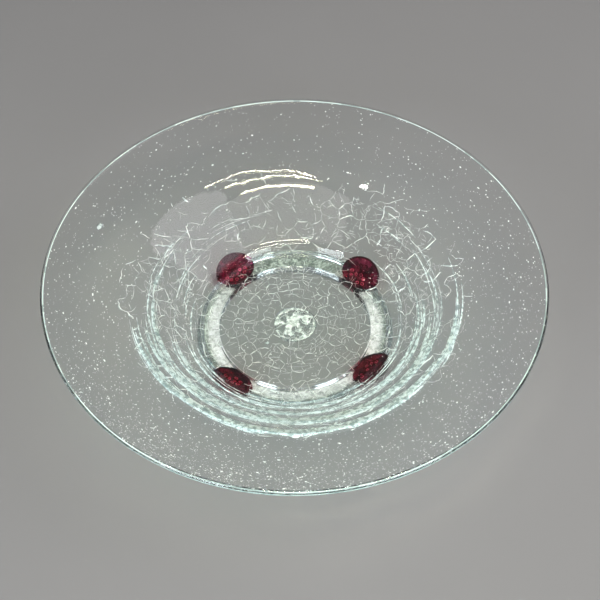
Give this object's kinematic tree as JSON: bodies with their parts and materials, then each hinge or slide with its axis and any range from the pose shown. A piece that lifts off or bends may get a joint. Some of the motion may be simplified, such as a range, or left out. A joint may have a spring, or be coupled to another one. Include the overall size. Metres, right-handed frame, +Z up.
{
  "type": "art glass bowl",
  "caption": "Shallow flared crackle-glass centrepiece bowl with a wide bubbled brim, an applied foot ring and raspberry prunts round its base.",
  "frame": {"origin": "on the bowl's axis, on the plane the foot ring stands on", "axes": "+Z up along the bowl's axis, -Y towards the front, +X to the right as seen from the front"},
  "size_m": [0.3, 0.3, 0.068],
  "materials": {
    "clear_glass": "clear glass with a faint blue-green tint, seed bubbles and a crackled well",
    "ground_glass": "clear glass ground to a frosted white where it stands",
    "amethyst_glass": "deep red-purple transparent glass, fire polished",
    "broken_glass": "rough broken glass, whitish"
  },
  "bodies": {
    "root": {"bowl_body": "clear_glass", "foot_ring": "ground_glass", "prunt_back_left": "amethyst_glass", "prunt_back_right": "amethyst_glass", "prunt_front_left": "amethyst_glass", "prunt_front_right": "amethyst_glass", "pontil_scar": "broken_glass"}
  },
  "joints": []
}
